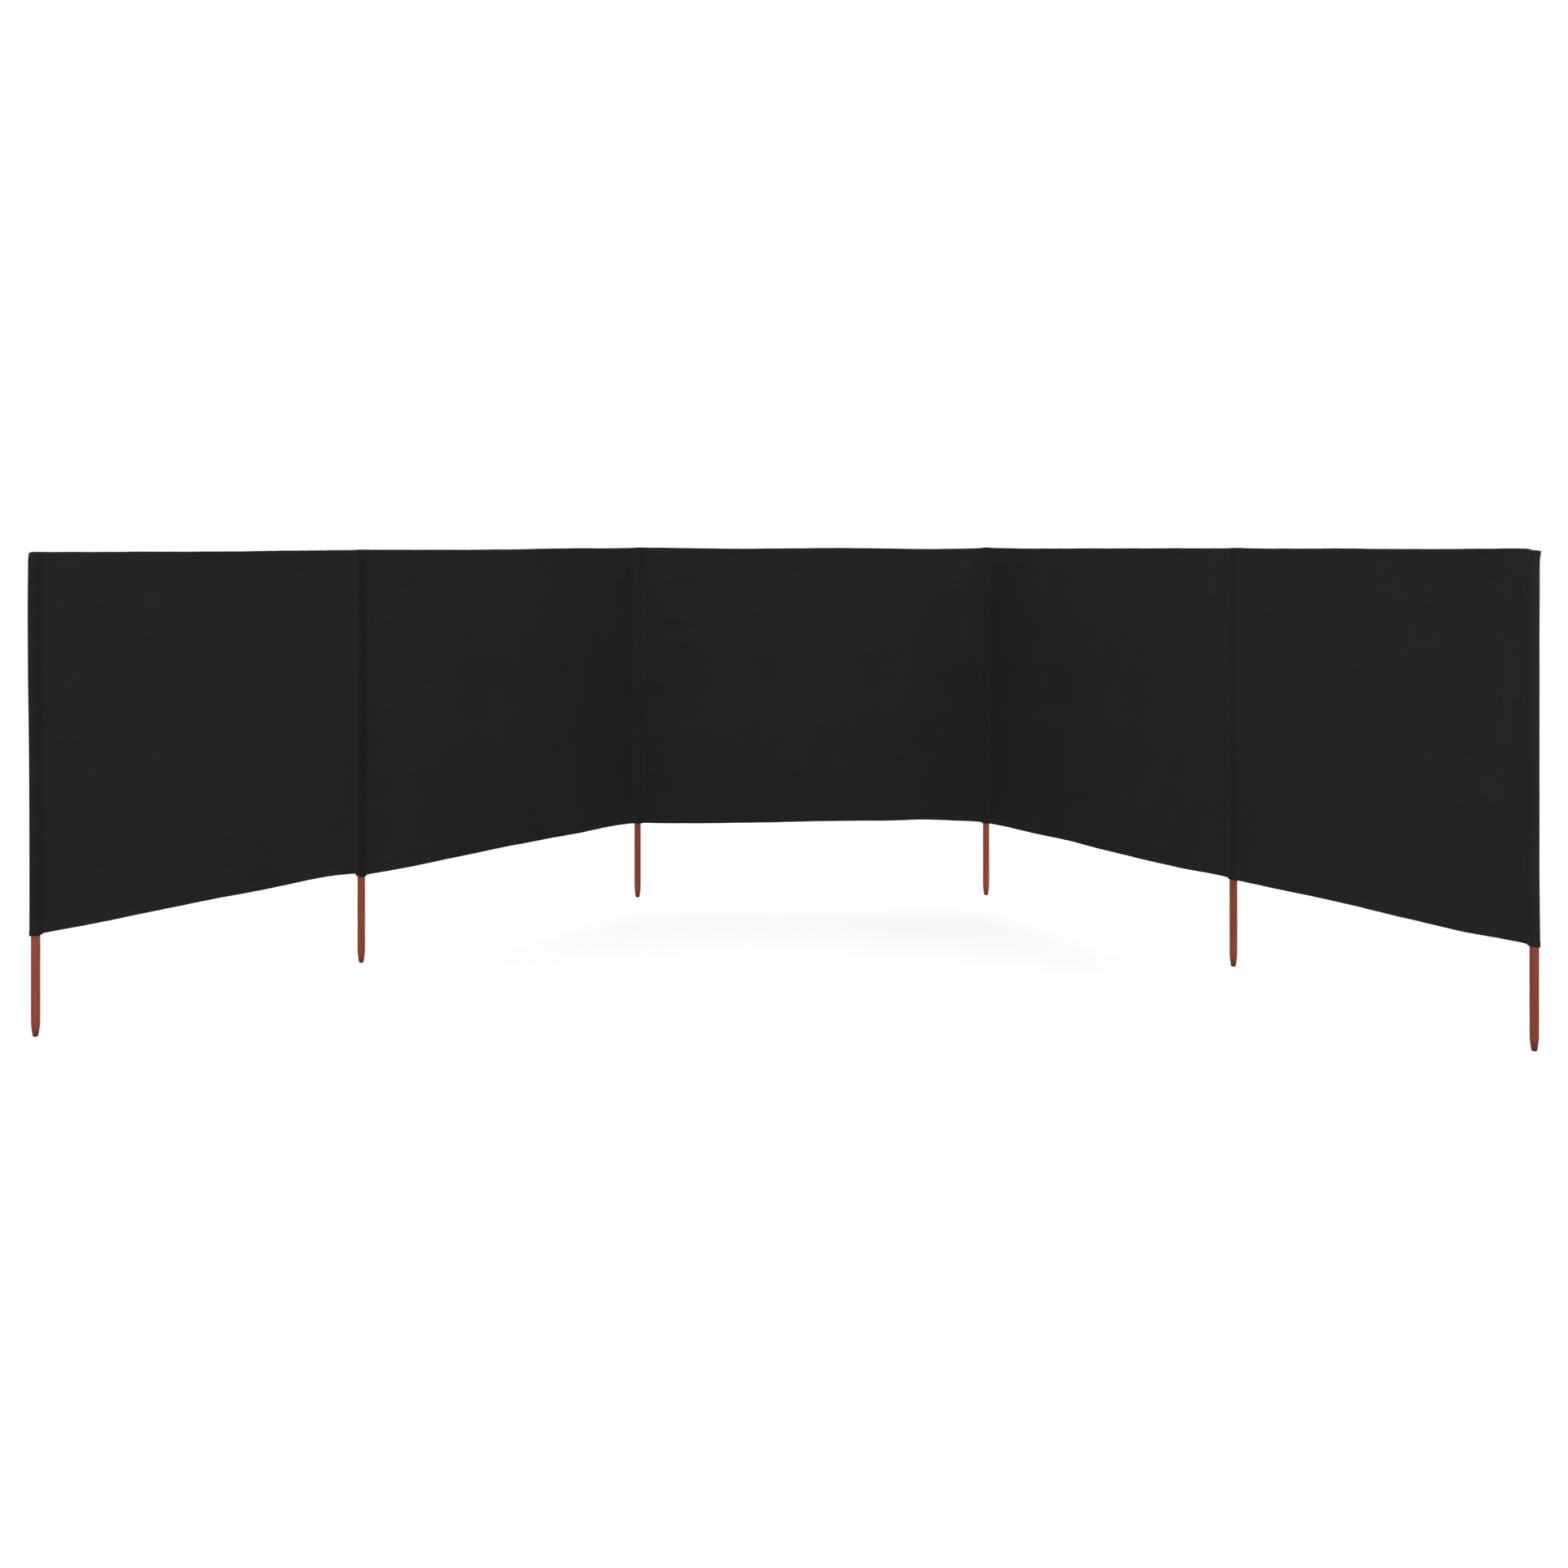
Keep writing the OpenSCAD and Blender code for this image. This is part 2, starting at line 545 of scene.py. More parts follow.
# Length of one turn of the twist in the thread
THREAD_TWIST = 0.0009
WOOD_LIGHT = (0.275, 0.056, 0.026, 1.0)
WOOD_MAIN = (0.220, 0.040, 0.0165, 1.0)
WOOD_DARK = (0.130, 0.021, 0.0085, 1.0)
# Colour of the painted shade on the tips
WOOD_TIP_SHADE = (0.062, 0.013, 0.011, 1.0)
# Rings to a metre across the wood, and by how many of them they wander
RINGS = 260.0
RING_WANDER = 9.0
# Painted shade on the downward-facing tips fades out between two heights, with some unevenness added
TIP_SHADE_LOW, TIP_SHADE_HIGH, TIP_SHADE_UNEVEN = 0.016, 0.040, 0.022


def canvas_material():
    """Charcoal plain-weave canvas: wandering yarns, slubs, faint mottling, worn folds, and painted
    shade and highlights.
    """
    n = Nodes(bpy.data.materials.new("charcoal_canvas"))
    weave = n.attribute("weave", "Vector")
    wander = n.add("ShaderNodeTexNoise", Vector=weave, Scale=60.0, Detail=2.0).outputs["Color"]
    wander = n.vector("MULTIPLY", wander, (YARN_WANDER, YARN_WANDER, YARN_WANDER))
    parts = n.add("ShaderNodeSeparateXYZ", Vector=n.vector("ADD", weave, wander)).outputs
    warp = n.sine(parts[0], math.pi / YARN_PITCH)
    weft = n.sine(parts[2], math.pi / YARN_PITCH)
    over = n.times(warp, weft)
    slub_warp = n.noise(weave, (SLUBS_ACROSS, 1, SLUBS_ALONG), 2.0)
    slub_weft = n.noise(weave, (SLUBS_ALONG, 1, SLUBS_ACROSS), 2.0)
    slubs = n.plus(slub_warp, slub_weft)
    cloud = n.noise(weave, 4.0, 4.0, 0.6)
    lint = n.noise(weave, 420.0, 2.0)
    tone = n.times(n.vary(cloud, 0.3, 0.7, 0.07), n.vary(slubs, 0.7, 1.3, 0.14))
    tone = n.times(tone, n.vary(over, -1.0, 1.0, 0.12))
    # The shade attribute carries real wear, and the painted shade of the sleeve bands and painted
    # highlights of the bays
    tone = n.times(tone, n.attribute("shade", "Fac"))
    height = n.plus(n.times(over, 0.5), n.times(slubs, 0.6))
    n.surface(
        Base_Color=n.toned(CANVAS_TONE, tone),
        Roughness=n.span(lint, 0.3, 0.7, 0.80, 0.95),
        Specular_IOR_Level=0.06,
        Sheen_Weight=0.006,
        Sheen_Roughness=0.5,
        Normal=n.bump(height, 0.00012, 0.55),
    )
    return n.owner


def thread_material():
    """Twisted polyester sewing thread, a little paler and glossier than the canvas."""
    n = Nodes(bpy.data.materials.new("charcoal_thread"))
    weave = n.attribute("weave", "Vector")
    parts = n.add("ShaderNodeSeparateXYZ", Vector=weave).outputs
    twist = n.sine(n.plus(parts[0], parts[2]), 2 * math.pi / THREAD_TWIST)
    fuzz = n.noise(weave, 900.0, 2.0)
    tone = n.times(n.vary(twist, -1.0, 1.0, 0.2), n.vary(fuzz, 0.3, 0.7, 0.2))
    n.surface(
        Base_Color=n.toned(THREAD_TONE, tone),
        Roughness=n.span(fuzz, 0.3, 0.7, 0.45, 0.65),
        Specular_IOR_Level=0.2,
        Normal=n.bump(twist, 0.00008, 0.6),
    )
    return n.owner


def painted_tip_shade(n, place, height):
    """How much painted shade darkens a place on a pole, by its height above the tip."""
    uneven = n.noise(place, (120, 120, 70), 4.0, 0.6)
    return n.span(n.plus(height, n.times(uneven, TIP_SHADE_UNEVEN)), TIP_SHADE_LOW, TIP_SHADE_HIGH, 0.9, 0.0)


def wood_material():
    """Red-brown stained softwood dowel: streaked grain along z, darker late wood, painted shade on
    the tip.
    """
    n = Nodes(bpy.data.materials.new("stained_wood"))
    place = n.attribute("weave", "Vector")
    parts = n.add("ShaderNodeSeparateXYZ", Vector=place).outputs
    wander = n.noise(place, (14, 14, 2.2), 2.0)
    lines = n.plus(n.times(parts[0], RINGS), n.times(wander, RING_WANDER))
    rings = n.sine(lines, 2 * math.pi)
    fibre = n.noise(place, (1500, 1500, 26), 4.0, 0.65)
    streak = n.noise(place, (160, 160, 5))
    blotch = n.noise(place, (30, 30, 9))
    late = n.plus(n.span(rings, 0.1, 1.0, 0.0, 0.45), n.span(streak, 0.45, 0.75, 0.0, 0.5))
    body = n.mix(n.span(blotch, 0.3, 0.7), WOOD_LIGHT, WOOD_MAIN)
    body = n.mix(n.calculate("MINIMUM", late, 0.75), body, WOOD_DARK)
    body = n.mix(n.span(fibre, 0.52, 0.75, 0.0, 0.55), body, WOOD_DARK)
    # Painted shade on the downward-facing tip
    body = n.mix(painted_tip_shade(n, place, parts[2]), body, WOOD_TIP_SHADE)
    n.surface(
        Base_Color=n.vector("MULTIPLY", body, n.attribute("shade", "Fac")),
        Roughness=n.span(fibre, 0.3, 0.8, 0.45, 0.65),
        Specular_IOR_Level=0.18,
        Normal=n.bump(n.plus(n.times(rings, 0.2), fibre), 0.00025, 0.5),
    )
    return n.owner


CANVAS = canvas_material()
THREAD = thread_material()
WOOD = wood_material()


# ---- poles

POLE_SIDES = 48
# The blunt tip: its radius, the rounding of its edge, and the height that it tapers over
TIP_R = 0.0070
TIP_EDGE = 0.0025
TIP_H = 0.040
TIP_CURVE = 1.8
TOP_BEVEL = 0.0015
# Depth of the dents, and of the batter that the tip took up to a height
DENT = 0.00010
BATTER = 0.00025
BATTERED_TO = 0.02
# Distance between the poles in the grain that they are cut from
GRAIN_STEP = 0.05


def pole_profile():
    """Radius and height up the side of a pole, from the flat of its tip to its top."""
    flat = TIP_R - TIP_EDGE
    profile = [(flat, 0.0)]
    for a in np.linspace(0, math.pi / 2, 6)[1:]:
        profile.append((flat + TIP_EDGE * math.sin(a), TIP_EDGE * (1 - math.cos(a))))
    for t in np.linspace(0, 1, 13)[1:]:
        radius = POLE_R - (POLE_R - TIP_R) * (1 - t) ** TIP_CURVE
        profile.append((radius, TIP_EDGE + (TIP_H - TIP_EDGE) * t))
    for z in np.linspace(TIP_H, POLE_TOP - TOP_BEVEL, 60)[1:]:
        profile.append((POLE_R, z))
    return [*profile, (POLE_R - TOP_BEVEL, POLE_TOP)]


def pole_points(profile, phases):
    """Points of a pole at the origin: its rows, then the middles of its tip and top."""
    turn = 2 * math.pi * np.arange(POLE_SIDES) / POLE_SIDES
    rows = []
    for r, z in profile:
        dent = DENT * np.sin(3 * turn + phases[0] + 60 * z) * np.sin(190 * z + phases[1])
        batter = BATTER * np.sin(5 * turn + phases[2]) * np.sin(2 * turn + phases[3])
        radius = r - np.abs(dent) - np.abs(batter) * (1 - ease(z, 0, BATTERED_TO))
        rows.append(lifted(radius * np.exp(1j * turn), z))
    return np.concatenate([*rows, [[0, 0, 0], [0, 0, POLE_TOP]]])


def pole_faces(rows):
    """Faces of a pole of so many rows, with a fan of triangles at its tip and top."""
    faces = grid_faces(rows, POLE_SIDES, closed=True)
    last = (rows - 1) * POLE_SIDES
    tip = rows * POLE_SIDES
    for c in range(POLE_SIDES):
        d = (c + 1) % POLE_SIDES
        faces.append((tip, d, c))
        faces.append((tip + 1, last + c, last + d))
    return faces


def make_pole(number):
    """Turned and stained dowel with its tapered, blunt, slightly battered tip."""
    phases = np.random.RandomState(POLE_SEED + number).rand(4) * 2 * math.pi
    profile = pole_profile()
    points = pole_points(profile, phases)
    turned = (points[:, 0] + 1j * points[:, 1]) * np.exp(1j * phases[0])
    piece = new_piece(
        f"pole_wood_{number}",
        points + [POLE_AT[number].real, POLE_AT[number].imag, 0],
        pole_faces(len(profile)),
        WOOD,
        lifted(turned + GRAIN_STEP * number, points[:, 2]),
        np.full(len(points), STAIN[number]),
    )
    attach(piece, BODY_OF[f"pole_{number}"])
    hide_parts(f"pole_{number}")
    return piece


# ---- panels and hems

PANEL_COLUMNS, PANEL_ROWS = 150, 78
HEM_COLUMNS = 200
# The hems' faces from the middle of the cloth: the sheltered one is just proud of the panel,
# and the windward one lies two plies outside it
HEM_FRONT = CLOTH_T / 2 + 0.00015
HEM_BACK = CLOTH_T / 2 + 2 * CLOTH_T + 2 * PLY_GAP
HEM_FACE = {SHELTERED: HEM_FRONT, WINDWARD: HEM_BACK}


def make_panel(bay):
    """The stretched cloth of one bay, from inside one sleeve's seam to the other's."""
    x = np.linspace(SEAM - TUCK, bay.width - SEAM + TUCK, PANEL_COLUMNS)[None, :]
    v = np.linspace(0, 1, PANEL_ROWS)[:, None]
    low = inside_edge(bay, "bottom", x, HEM_H - UNDER_HEM)
    high = inside_edge(bay, "top", x, HEM_H - UNDER_HEM)
    z = low + (high - low) * v
    x = x + 0 * z
    y = cloth_y(bay, x, z)
    sides = [bay.place(x, y + side * CLOTH_T / 2, z) for side in (SHELTERED, WINDWARD)]
    weave = np.stack([x, y, z], axis=-1)
    # Painted highlights near the right end of the bay
    shade = painted_panel_highlight(bay, x, z)
    piece = new_piece(
        f"panel_cloth_{bay.number}",
        np.stack(sides),
        shell_faces(PANEL_ROWS, PANEL_COLUMNS),
        CANVAS,
        np.stack([weave, weave]),
        np.stack([shade, shade]),
    )
    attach(piece, bay.body)
    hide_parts(f"panel_{bay.number}")
    return piece


def hem_section():
    """Outline of a folded hem, round its free edge first: (offset, height from it, wear)."""
    mid, half = (HEM_BACK - HEM_FRONT) / 2, (HEM_BACK + HEM_FRONT) / 2
    outline = []
    for a in np.linspace(0, math.pi, 9):
        outline.append((mid - half * math.cos(a), half - half * math.sin(a), math.sin(a)))
    outline += [(HEM_BACK, 0.4 * HEM_H, 0.0), (HEM_BACK, HEM_H - 0.0006, 0.2)]
    outline += [(HEM_BACK - 0.0003, HEM_H - 0.0001, 0.8), (HEM_BACK - 0.0008, HEM_H, 0.3)]
    outline += [(CLOTH_T / 2 - 0.0001, HEM_H, 0.0), (-CLOTH_T / 2 + 0.0001, HEM_H - 0.0002, 0.0)]
    outline += [(-HEM_FRONT, HEM_H - 0.0012, 0.0), (-HEM_FRONT, 0.4 * HEM_H, 0.0)]
    return outline


def wear(bay, x):
    """How much paler the most worn part of a hem is along its bay, from 0 to 0.7."""
    return 0.35 + 0.35 * np.sin(37 * x + 5 * np.sin(11 * x + bay.number))


def make_hem(bay, where):
    """The folded edge of a bay, along its top or its bottom."""
    section = hem_section()
    x = np.linspace(SEAM - TUCK, bay.width - SEAM + TUCK, HEM_COLUMNS)
    points, weave, shade = [], [], []
    for offset, height, worn in section:
        z = inside_edge(bay, where, x, height)
        y = cloth_y(bay, x, z) + offset
        points.append(bay.place(x, y, z))
        weave.append(np.stack([x, y, z], axis=-1))
        # Painted highlights of the bay, times the real wear of the hem's edge
        shade.append(painted_panel_highlight(bay, x, z) * (1 + worn * wear(bay, x)))
    ring = len(section)
    faces = grid_faces(HEM_COLUMNS, ring, closed=True)
    faces.append(tuple(range(ring)))
    faces.append(tuple(reversed(range((HEM_COLUMNS - 1) * ring, HEM_COLUMNS * ring))))
    piece = new_piece(
        f"{where}_hem_cloth_{bay.number}",
        np.stack(points, axis=1),
        faces,
        CANVAS,
        np.stack(weave, axis=1),
        np.stack(shade, axis=1),
    )
    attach(piece, bay.body)
    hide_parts(f"{where}_hem_{bay.number}")
    return piece


# ---- sleeves

# Points from a seam to the pole, and round the pole
LINE_STEPS = 7
ARC_STEPS = 14
# A flange's points, as shares of its width outside the seam. Its free edge is turned under, so
# there it is rounded, and as thick as two layers.
FLANGE_PLACES = np.array([1.0, 0.985, 0.94, 0.8, 0.55, 0.25, 0.0])
FLANGE_DROP = CLOTH_T * np.array([1.6, 0.7, 0.15, 0.0, 0.0, 0.0, 0.35])
FLANGE_WALL = CLOTH_T * np.array([0.4, 1.3, 1.85, 2.0, 2.0, 2.0, 1.5])
# Distances from the pole between which a sleeve's ends run over into the bay's edges
FOOT_REACH = (0.009, 0.020)
RIDGE_REACH = (0.003, SEAM)
# How far the closed ends stand above the top edges
RIDGE_RISE = 0.0004
# Over how much height a flange climbs on to a hem
HEM_STEP = 0.004
# The outer fold of an end sleeve stays this much wider than the sleeve's own round
FOLD_CLEAR = 1.02
# How far below its ridge a sleeve starts to round off: at its sides, and more over the pole
ROUND_SIDE, ROUND_MORE, ROUND_WIDTH = 0.0012, 0.0016, 0.016
# Rows between the cuff and the closed top, and rows, turn and weave of the closed top itself
PLAIN_ROWS = 80
TOP_ROWS = 7
TOP_TURN = math.radians(92)
TOP_WEAVE = 0.003
# How much paler the cloth is on its folds, and round its open rim
WORN_FOLD, WORN_RIM = 0.3, 0.4
# A level is (distance above the foot, share of the way on to where the top starts to round off)
PLAIN_START = CUFF + 0.0011
LAST_LEVEL = (PLAIN_START, 1.0)


def sleeve_end(number, q, edge, at_pole, at_corner, reach):
    """Height of a sleeve's end at q, the distance to the right of its pole along the bays."""
    height = at_pole + 0 * q
    for hand in (LEFT, RIGHT):
        bay = bay_beside(number, hand)
        there = at_corner
        if bay is not None:
            there = edge(bay, bay.x_from(hand, np.maximum(hand * q, SEAM)))
        height = height + (there - height) * ease(hand * q, *reach)
    return height


def foot(number, q):
    """Height of a sleeve's open end."""
    at_pole = SLEEVE_LOW + FOOT[number] / 1000
    return sleeve_end(number, q, bottom_edge, at_pole, at_pole, FOOT_REACH)


def ridge(number, q):
    """Height of a sleeve's closed end."""
    at_pole = POLE_TOP + HEAD[number] / 1000
    at_corner = POLE_TOP + CORNER.get(number, 0) / 1000
    return RIDGE_RISE + sleeve_end(number, q, top_edge, at_pole, at_corner, RIDGE_REACH)


def rounding(q):
    """How far below its ridge a sleeve starts to round off at q."""
    return ROUND_SIDE + ROUND_MORE * np.exp(-((q / ROUND_WIDTH) ** 4))


def level_height(number, q, level):
    """Height of a level at q."""
    above, share = level
    low = foot(number, q) + above
    return low + share * (ridge(number, q) - rounding(q) - low)


def belt(left, right, radius, side):
    """Plan line of cloth pulled from left to right past a round pole at 0, on one side."""
    if side == WINDWARD:
        return np.conj(belt(np.conj(left), np.conj(right), radius, SHELTERED))
    a = np.angle(left)
    b = a + (np.angle(right) - a) % (2 * math.pi)
    on = a + math.acos(min(1, radius / abs(left)))
    off = b - math.acos(min(1, radius / abs(right)))
    if on < off:
        arc = radius * np.exp(1j * np.linspace(on, off, ARC_STEPS))
        before = np.linspace(left, arc[0], LINE_STEPS)[:-1]
        after = np.linspace(arc[-1], right, LINE_STEPS)[1:]
        line = np.concatenate([before, arc, after])
    else:
        line = np.linspace(left, right, 2 * LINE_STEPS + ARC_STEPS - 2)
    for _ in range(2):
        line[1:-1] = (line[:-2] + 2 * line[1:-1] + line[2:]) / 4
    return line


def ply_depth(bay, side, x, z):
    """Distance of a sleeve's flange from the middle of the cloth that it is sewn to."""
    low = 1 - ease(z - bottom_edge(bay, x), HEM_H, HEM_H + HEM_STEP)
    high = ease(z - top_edge(bay, x), -HEM_H - HEM_STEP, -HEM_H)
    climb = (HEM_FACE[side] - CLOTH_T / 2) * np.maximum(low, high)
    return CLOTH_T / 2 + climb + PLY_GAP


def flange(number, hand, side, level):
    """A flange's outer face from its free edge to the seam: plan points, wall and q."""
    bay = bay_beside(number, hand)
    distance = SEAM + FLANGE * FLANGE_PLACES
    x = bay.x_from(hand, distance)
    q = hand * distance
    z = level_height(number, q, level)
    y = cloth_y(bay, x, z) + side * (ply_depth(bay, side, x, z) + 2 * CLOTH_T - FLANGE_DROP)
    return bay.start + bay.along * x + bay.windward * y - POLE_AT[number], FLANGE_WALL, q


def outer_fold(number, hand, z, radius):
    """The fold of an end sleeve past its pole: plan point, wall and q."""
    end_bay = BAYS[min(number, BAY_NUMBERS[-1])]
    distance = max(float(curve(FOLD_LINE[number], z * 1000)) / 1000, FOLD_CLEAR * radius)
    return np.array([hand * end_bay.along * distance]), [CLOTH_T], np.array([hand * distance])


def sleeve_radius(number, side, z):
    """Radius of a sleeve's outer face, which is looser in some places."""
    loose = (1 + math.sin(z * 23 + number + side)) * (1 + math.sin(z * 7.3 + 2 * number))
    return POLE_R + CLOTH_T + SLACK * (1 + 0.5 * loose)


def sleeve_side(number, side, level):
    """One layer of a sleeve at a level, from left to right: plan points, wall and q."""
    z = float(level_height(number, 0.0, level))
    radius = sleeve_radius(number, side, z)
    ends = []
    for hand in (LEFT, RIGHT):
        if bay_beside(number, hand) is None:
            ends.append(outer_fold(number, hand, z, radius))
        else:
            ends.append(flange(number, hand, side, level))
    (left, left_wall, left_q), (right, right_wall, right_q) = ends
    line = belt(left[-1], right[-1], radius, side)[1:-1]
    chord = right[-1] - left[-1]
    share = ((line - left[-1]) * np.conj(chord)).real / abs(chord) ** 2
    line_q = left_q[-1] + (right_q[-1] - left_q[-1]) * share
    path = np.concatenate([left, line, right[::-1]])
    wall = np.concatenate([left_wall, np.full(len(line), CLOTH_T), right_wall[::-1]])
    return path, wall, np.concatenate([left_q, line_q, right_q[::-1]])


@functools.lru_cache(maxsize=None)
def sleeve_walls(number, level):
    """A sleeve's shells at a level: two layers, or one that folds round an end pole.

    Each is its plan points, wall, q, the points midway between the layers, and which way
    is out.
    """
    front, front_wall, front_q = sleeve_side(number, SHELTERED, level)
    back, back_wall, back_q = sleeve_side(number, WINDWARD, level)
    spine = (front + back) / 2
    q = (front_q + back_q) / 2
    sides = (front, front_wall, q, spine), (back, back_wall, q, spine)
    if number == POLE_NUMBERS[0]:
        return [(*(np.concatenate([a[::-1], b[1:]]) for a, b in zip(*sides)), 1)]
    if number == POLE_NUMBERS[-1]:
        return [(*(np.concatenate([a, b[-2::-1]]) for a, b in zip(*sides)), -1)]
    return [(*sides[0], -1), (*sides[1], 1)]


def plan_normals(path, turn):
    """Unit normals of a plan line, outwards from the pole."""
    run = np.gradient(path)
    return turn * 1j * run / np.abs(run)


def sleeve_levels():
    """The rows of a sleeve: (level, how much of the cuff's extra layer is there)."""
    cuff = [(0.0, -0.35), (0.0004, 0.35), (0.0012, 0.85), (0.003, 1.0), (0.45 * CUFF, 1.0)]
    cuff += [(0.7 * CUFF, 1.0), (0.9 * CUFF, 1.0), (CUFF, 0.9), (CUFF + 0.0005, 0.35)]
    rows = [((above, 0.0), extra) for above, extra in cuff]
    return rows + [((PLAIN_START, share), 0.0) for share in np.linspace(0, 1, PLAIN_ROWS)]


def painted_band_shade(number, q):
    """How pale a sleeve's cloth is at q beside the panels: 1, or darker where its band of painted
    shade lies.
    """
    if number not in SLEEVE_SHADE_BAND:
        return np.ones_like(q)
    tone, low, high = SLEEVE_SHADE_BAND[number]
    place = q * 1000
    inside = ease(place, low, low + BAND_FADE) * (1 - ease(place, high - BAND_FADE, high))
    return 1 + (tone - 1) * inside


def sleeve_weave(number, path, z):
    """Places in the weave along a plan line of a sleeve."""
    run = np.concatenate([[0], np.cumsum(np.abs(np.diff(path)))])
    return np.stack([run + number, 0 * run, z], axis=-1)


def sleeve_row(number, k, level, extra):
    """A shell's points outside and inside, its weave and its shade at a level."""
    path, wall, q, _, turn = sleeve_walls(number, level)[k]
    normal = plan_normals(path, turn)
    z = level_height(number, q, level)
    face = path + normal * extra * (CLOTH_T if extra > 0 else wall)
    # A fold's wall is between one layer and two
    on_fold = (wall > 1.2 * CLOTH_T) & (wall < 1.9 * CLOTH_T)
    on_rim = 0 < extra < 0.95 and level[0] < CUFF / 2
    # Painted shade of the sleeve's band, times the real wear of its folds and rim
    shade = painted_band_shade(number, q) * (1 + WORN_FOLD * on_fold + WORN_RIM * on_rim)
    weave = sleeve_weave(number, path, z)
    return lifted(face, z), lifted(path - normal * wall, z), weave, shade


def top_row(number, k, step):
    """The same for one of the rows that round a shell off and close it over the pole."""
    path, wall, q, spine, turn = sleeve_walls(number, LAST_LEVEL)[k]
    under = path - plan_normals(path, turn) * wall
    z = level_height(number, q, LAST_LEVEL)
    a = TOP_TURN * step / TOP_ROWS
    rows = []
    for line, rise in ((path, rounding(q)), (under, rounding(q) - CLOTH_T)):
        rows.append(lifted(spine + (line - spine) * math.cos(a), z + rise * math.sin(a)))
    worn = step > TOP_ROWS // 2 + 1
    # Painted shade of the sleeve's band, times the real wear of its closed top
    shade = painted_band_shade(number, q) * (1 + WORN_FOLD * worn)
    return *rows, sleeve_weave(number, path, z + TOP_WEAVE * step), shade


def sleeve_shell(number, k):
    """Points, faces, weave and shade of one of a sleeve's shells."""
    rows = [sleeve_row(number, k, level, extra) for level, extra in sleeve_levels()]
    rows += [top_row(number, k, step) for step in range(1, TOP_ROWS + 1)]
    outer, inner, weave, shade = (np.stack(part) for part in zip(*rows))
    at = POLE_AT[number]
    points = np.stack([outer, inner]).reshape(-1, 3) + [at.real, at.imag, 0]
    faces = shell_faces(*shade.shape)
    return points, faces, np.stack([weave, weave]).reshape(-1, 3), np.stack([shade, shade]).ravel()


def make_sleeve(number):
    """The sewn pocket over a pole: flanges, cuff and a closed top that rounds over the pole."""
    shells = len(sleeve_walls(number, LAST_LEVEL))
    points, faces, weave, shade = join_parts([sleeve_shell(number, k) for k in range(shells)])
    piece = new_piece(f"sleeve_cloth_{number}", points, faces, CANVAS, weave, shade)
    follow_sleeve(piece, number)
    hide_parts(f"sleeve_{number}")
    return piece


def follow_sleeve(piece, number):
    """An end sleeve rides with its body; one between two bays only has its place baked into its
    points.
    """
    left_bay, right_bay = bay_beside(number, LEFT), bay_beside(number, RIGHT)
    if left_bay is None or right_bay is None:
        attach(piece, BODY_OF[f"sleeve_{number}"])
        return
    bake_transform(piece)


# ---- stitching

STITCH_PITCH = 0.0045
STITCH_LENGTH = 0.0036
THREAD_R = 0.00030
STITCH_SIDES = 5
# How unevenly the stitches are spaced, and how far they slant
STITCH_WANDER = 0.00015
STITCH_SLANT = 0.10
# Two rows hold a flange, at these distances from its seam
SEAM_ROWS = (0.0022, 0.0065)
# Distances of the hems' and cuffs' rows from the inner edges of the hems and cuffs
HEM_ROW = 0.003
CUFF_ROW = 0.0028


def stitch_template():
    """Points of one stitch as (along, sideways, out), and its faces."""
    dive = -0.8
    lift = 0.35
    points = [(-0.5, 0.0, dive)]
    for along in (-0.3, 0.3):
        for k in range(STITCH_SIDES):
            a = 2 * math.pi * k / STITCH_SIDES
            points.append((along, math.cos(a), lift + math.sin(a)))
    points.append((0.5, 0.0, dive))
    faces = []
    end = len(points) - 1
    for k in range(STITCH_SIDES):
        a, b = 1 + k, 1 + (k + 1) % STITCH_SIDES
        faces.append((0, a, b))
        faces.append((a, a + STITCH_SIDES, b + STITCH_SIDES, b))
        faces.append((end, b + STITCH_SIDES, a + STITCH_SIDES))
    return np.array(points), faces


def stitch_row(line, outward, seed):
    """Stitches along a line of points, on the side that outward says: points, faces, weave."""
    step = np.linalg.norm(np.diff(line, axis=0), axis=1)
    run = np.concatenate([[0], np.cumsum(step)])

    def sampled(values, places):
        """Vectors at places along the line."""
        return np.stack([np.interp(places, run, values[:, i]) for i in range(3)], axis=-1)

    rng = np.random.RandomState(seed)
    centres = np.arange(STITCH_PITCH / 2, run[-1] - STITCH_PITCH / 2, STITCH_PITCH)
    count = len(centres)
    centres = centres + STITCH_WANDER * (rng.rand(count) - 0.5)
    look = 0.002
    along = unit(sampled(line, centres + look) - sampled(line, centres - look))
    out = sampled(outward, centres)
    sideways = unit(np.cross(out, along))
    along = along + sideways * STITCH_SLANT * (rng.rand(count) - 0.3)[:, None]
    axes = np.stack([STITCH_LENGTH * along, THREAD_R * sideways, THREAD_R * out], axis=1)
    shape, shape_faces = stitch_template()
    points = sampled(line, centres)[:, None, :] + shape @ axes
    faces = [
        tuple(i + k * len(shape) for i in face) for k in range(count) for face in shape_faces
    ]
    weave = np.stack([shape[None, :, 0] * STITCH_LENGTH + centres[:, None]] * 3, axis=-1)
    return points.reshape(-1, 3), faces, weave.reshape(-1, 3)


def facing(bay, side, count):
    """The direction a bay's cloth faces on one side, repeated."""
    out = side * bay.windward
    return np.tile([out.real, out.imag, 0.0], (count, 1))


def hem_stitches(bay, where, side):
    """The row that holds a hem."""
    samples, short = 400, 0.002
    from_pole = SEAM + FLANGE + short
    x = np.linspace(from_pole, bay.width - from_pole, samples)
    z = inside_edge(bay, where, x, HEM_H - HEM_ROW)
    y = cloth_y(bay, x, z) + side * HEM_FACE[side]
    return stitch_row(bay.place(x, y, z), facing(bay, side, samples), 31 * bay.number + side)


